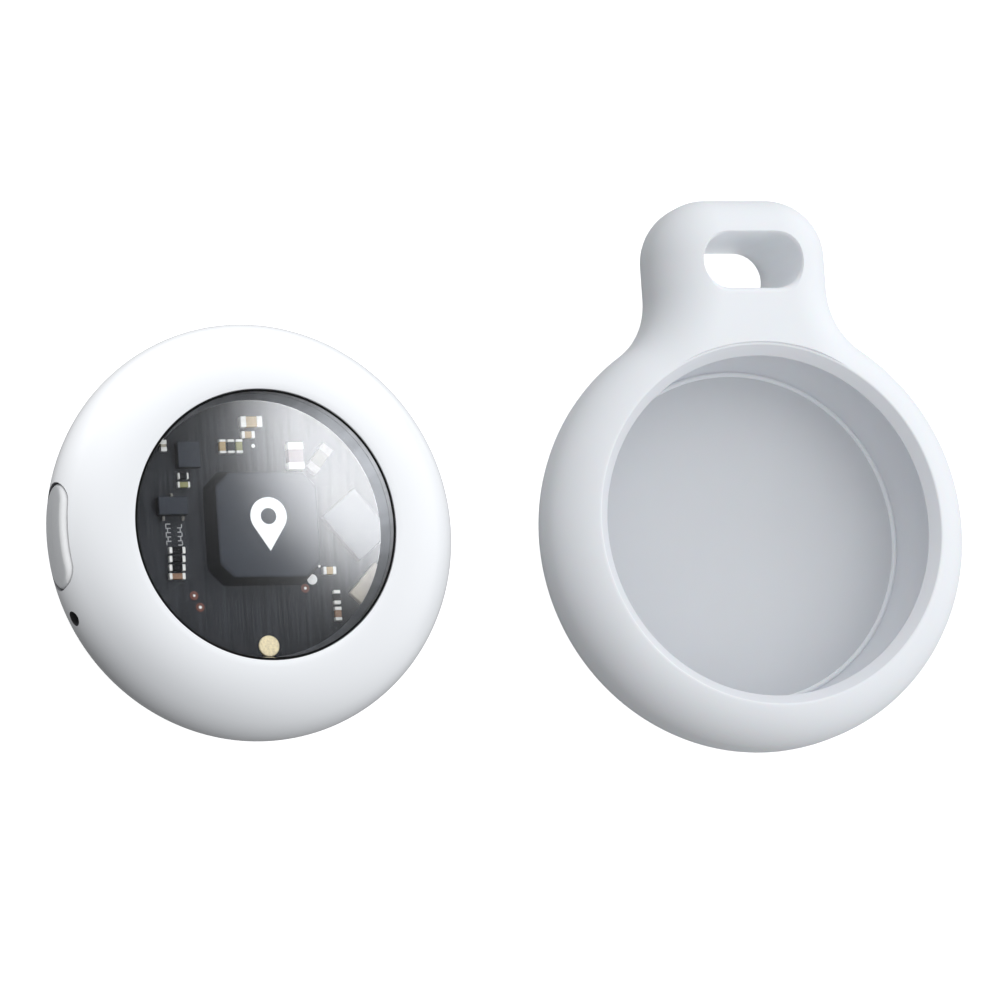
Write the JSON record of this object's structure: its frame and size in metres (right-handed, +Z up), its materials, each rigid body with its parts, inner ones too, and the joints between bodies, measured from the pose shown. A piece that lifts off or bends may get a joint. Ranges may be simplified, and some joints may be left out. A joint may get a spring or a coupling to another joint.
{
  "type": "bluetooth tracker tag",
  "caption": "Round battery tracker tag with a clear window over its board, a side button and a twist-off cover, lying beside its soft holder with a slotted loop.",
  "frame": {"origin": "middle of the pair's bounding box, at the surface that both lie on", "axes": "+X from the tag to its holder, +Y towards the holder's loop, +Z up, out of the tag's window and the holder's mouth"},
  "size_m": [0.0736, 0.0428, 0.0095],
  "materials": {
    "white_gloss": "glossy",
    "smoked_window": "polished",
    "black_rubber": "matte",
    "grey_plastic": "matte",
    "board_black": "satin",
    "chip_black": "satin",
    "capacitor_tan": "satin",
    "resistor_black": "satin",
    "ceramic_beige": "matte",
    "gold": "satin",
    "steel": "satin",
    "soft_silicone": "matte",
    "grey_silicone": "matte"
  },
  "bodies": {
    "tag": {"front_housing": "white_gloss", "rear_housing": "white_gloss", "window_lens": "smoked_window", "lens_gasket": "black_rubber", "inner_bezel": "grey_plastic", "circuit_board": "board_black", "processor_shield": "chip_black", "regulator": "chip_black", "power_chip": "chip_black", "motion_sensor": "chip_black", "chip_antenna": "ceramic_beige", "gold_contact": "gold", "capacitor_bulk": "capacitor_tan", "capacitor_below_bulk": "capacitor_tan", "capacitor_trio_left": "capacitor_tan", "resistor_trio": "resistor_black", "capacitor_trio_right": "capacitor_tan", "resistor_by_chip": "resistor_black", "capacitor_by_chip": "capacitor_tan", "resistor_stack_0": "resistor_black", "resistor_stack_1": "resistor_black", "resistor_stack_2": "resistor_black", "capacitor_stack": "capacitor_tan", "capacitor_by_shield": "capacitor_tan", "resistor_column": "resistor_black", "capacitor_column": "capacitor_tan", "capacitor_tall": "capacitor_tan", "capacitor_slanted": "ceramic_beige", "capacitor_edge": "capacitor_tan", "coin_cell": "steel", "battery_carrier": "grey_plastic", "negative_contact": "steel", "positive_contact": "steel", "tact_switch": "steel", "buzzer": "chip_black", "sound_mesh": "grey_plastic"},
    "side_button": {"side_button": "white_gloss", "button_pad": "grey_silicone", "switch_plunger": "resistor_black"},
    "rear_cover": {"rear_cover": "white_gloss", "cover_seal": "grey_silicone"},
    "holder": {"holder_sleeve": "soft_silicone"}
  },
  "joints": [
    {"name": "button_press", "type": "slide", "parent": "tag", "child": "side_button", "axis": [1, 0, 0], "range_m": [0, 0.0003], "stiffness_N_per_m": 2000},
    {"name": "cover_twist", "type": "hinge", "parent": "tag", "child": "rear_cover", "pos_m": [-0.0208, -0.00385, 0], "axis": [0, 0, 1], "range_deg": [0, 30]},
    {"name": "holder_lift", "type": "slide", "parent": "tag", "child": "holder", "axis": [0, 0, 1], "range_m": [0, 0.03]}
  ]
}
